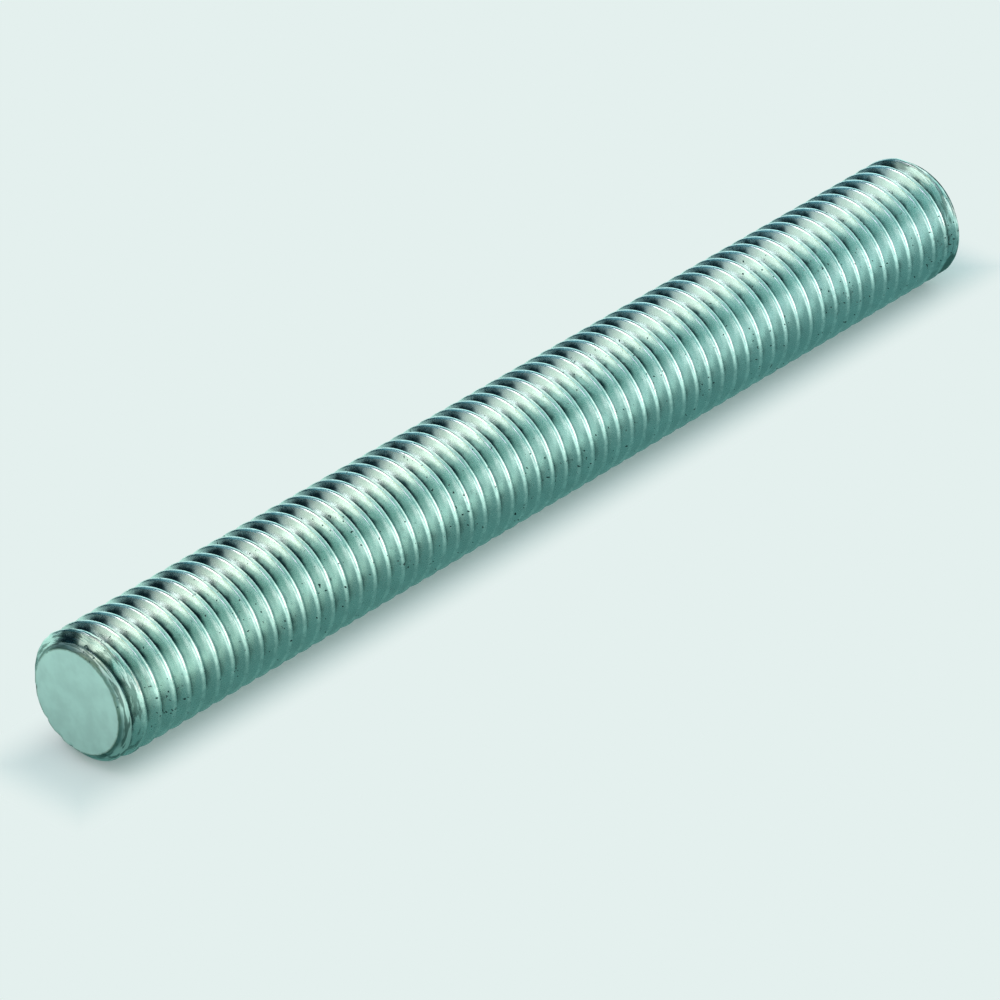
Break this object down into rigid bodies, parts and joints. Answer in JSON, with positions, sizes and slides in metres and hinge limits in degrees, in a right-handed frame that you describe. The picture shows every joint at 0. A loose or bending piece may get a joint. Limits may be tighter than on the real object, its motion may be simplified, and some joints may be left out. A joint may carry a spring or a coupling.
{
  "type": "threaded rod",
  "caption": "Short straight steel rod with one continuous outside thread from end to end and a chamfered flat face at each end.",
  "frame": {"origin": "centre of the lower end face", "axes": "+Z along the rod's axis, from the lower end face to the upper one; the thread is right-handed about it"},
  "size_m": [0.0118, 0.0118, 0.11],
  "materials": {
    "zinc_plated_steel": "dull zinc plating with a cool green cast"
  },
  "bodies": {
    "root": {"threaded_rod": "zinc_plated_steel"}
  },
  "joints": []
}
